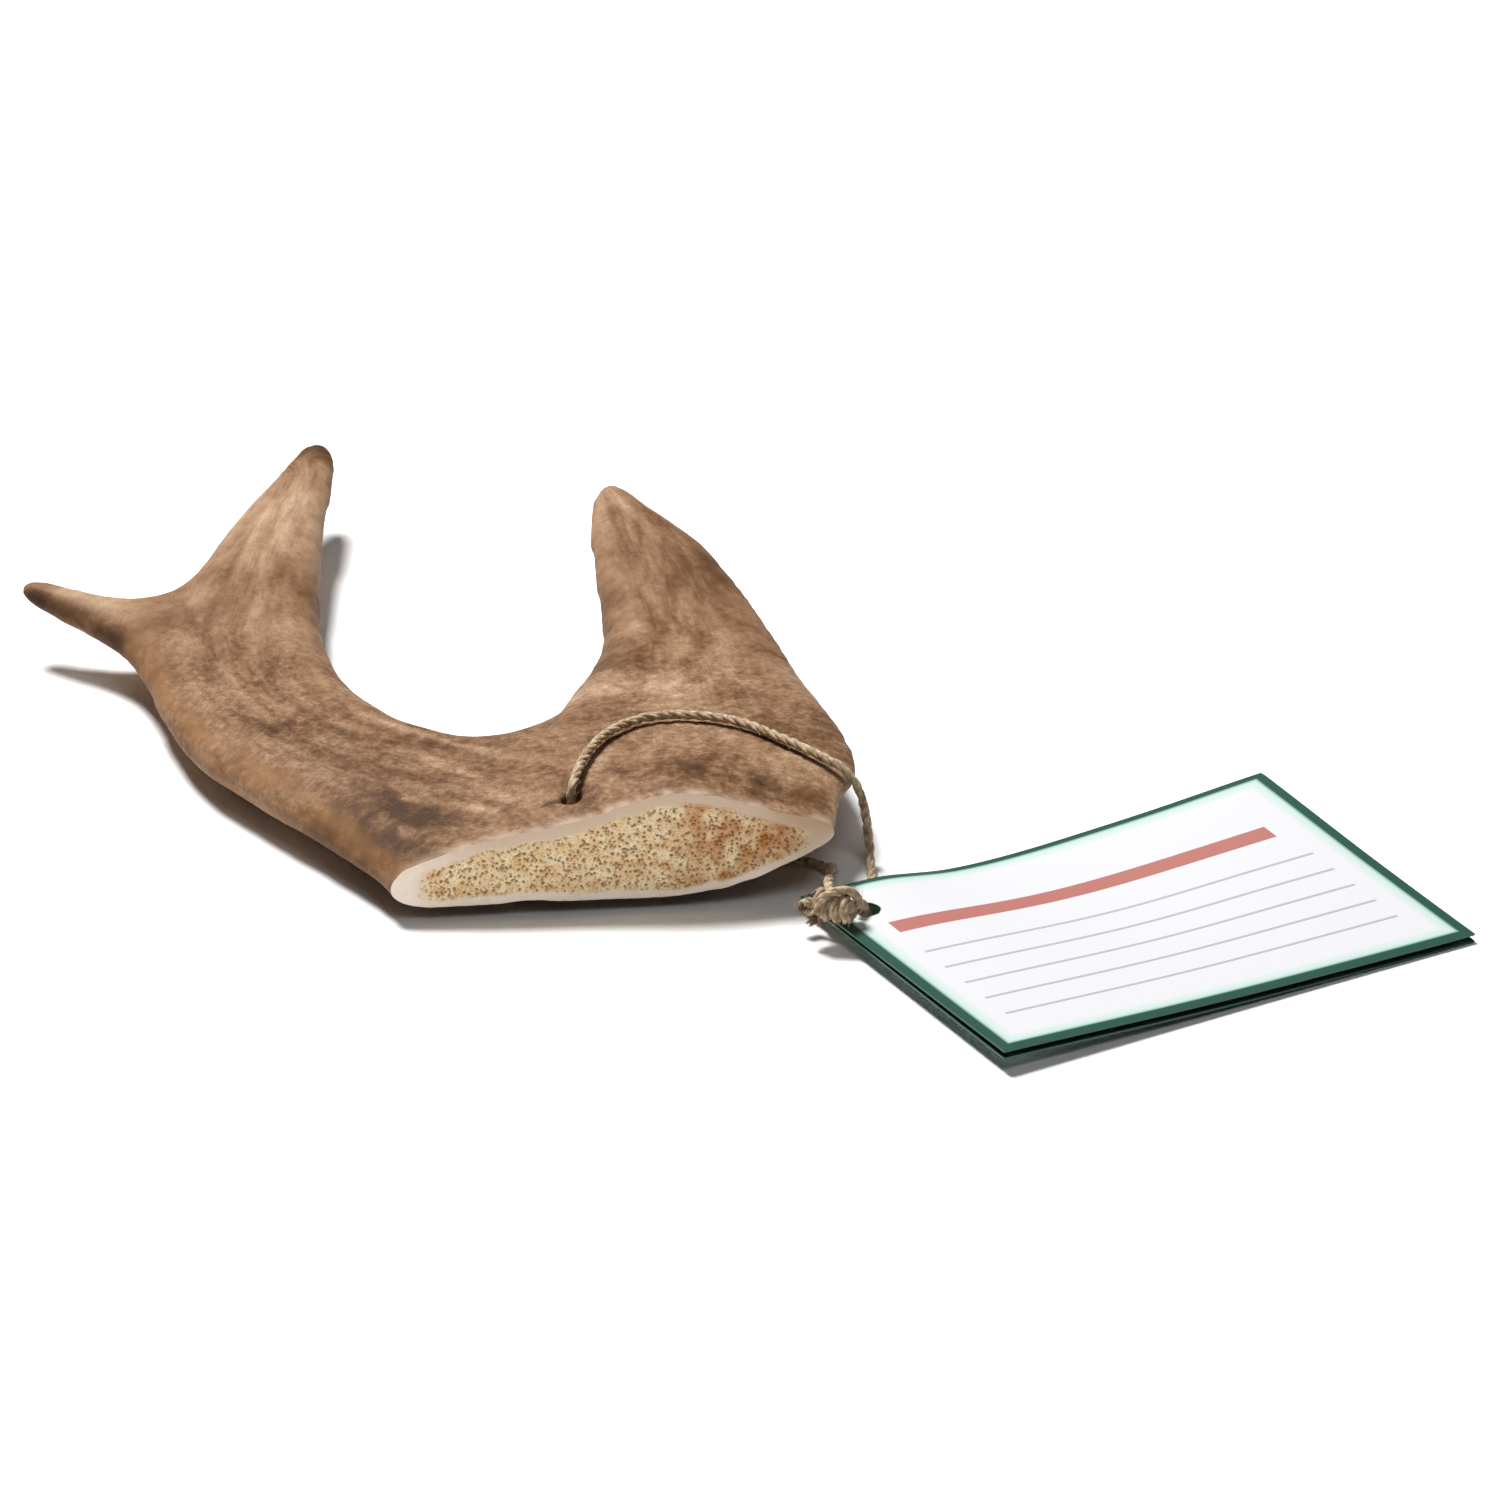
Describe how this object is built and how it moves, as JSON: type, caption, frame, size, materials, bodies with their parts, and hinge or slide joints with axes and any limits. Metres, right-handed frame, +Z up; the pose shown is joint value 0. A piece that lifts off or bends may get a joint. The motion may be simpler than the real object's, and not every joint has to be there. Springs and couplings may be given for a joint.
{
  "type": "fallow deer antler",
  "caption": "Sawn section of palmate antler with curved tines, lying flat, with a knotted jute twine and a folded card tag.",
  "frame": {"origin": "on the floor, under the centre of the antler's bounding box", "axes": "+Z up, away from the floor; +Y towards the tines' tips; -Y the way the sawn face looks; +X towards the broad tine"},
  "size_m": [0.2381, 0.2046, 0.0207],
  "materials": {
    "palm": "matte",
    "broad_tine": "matte",
    "upper_tine": "matte",
    "spur_tine": "matte",
    "twine_over": "matte",
    "twine_under": "matte",
    "twine_knot": "matte",
    "tag": "satin"
  },
  "bodies": {
    "root": {"palm": "palm", "broad_tine": "broad_tine", "upper_tine": "upper_tine", "spur_tine": "spur_tine", "twine_over": "twine_over", "twine_under": "twine_under", "twine_knot": "twine_knot", "tag": "tag"}
  },
  "joints": []
}
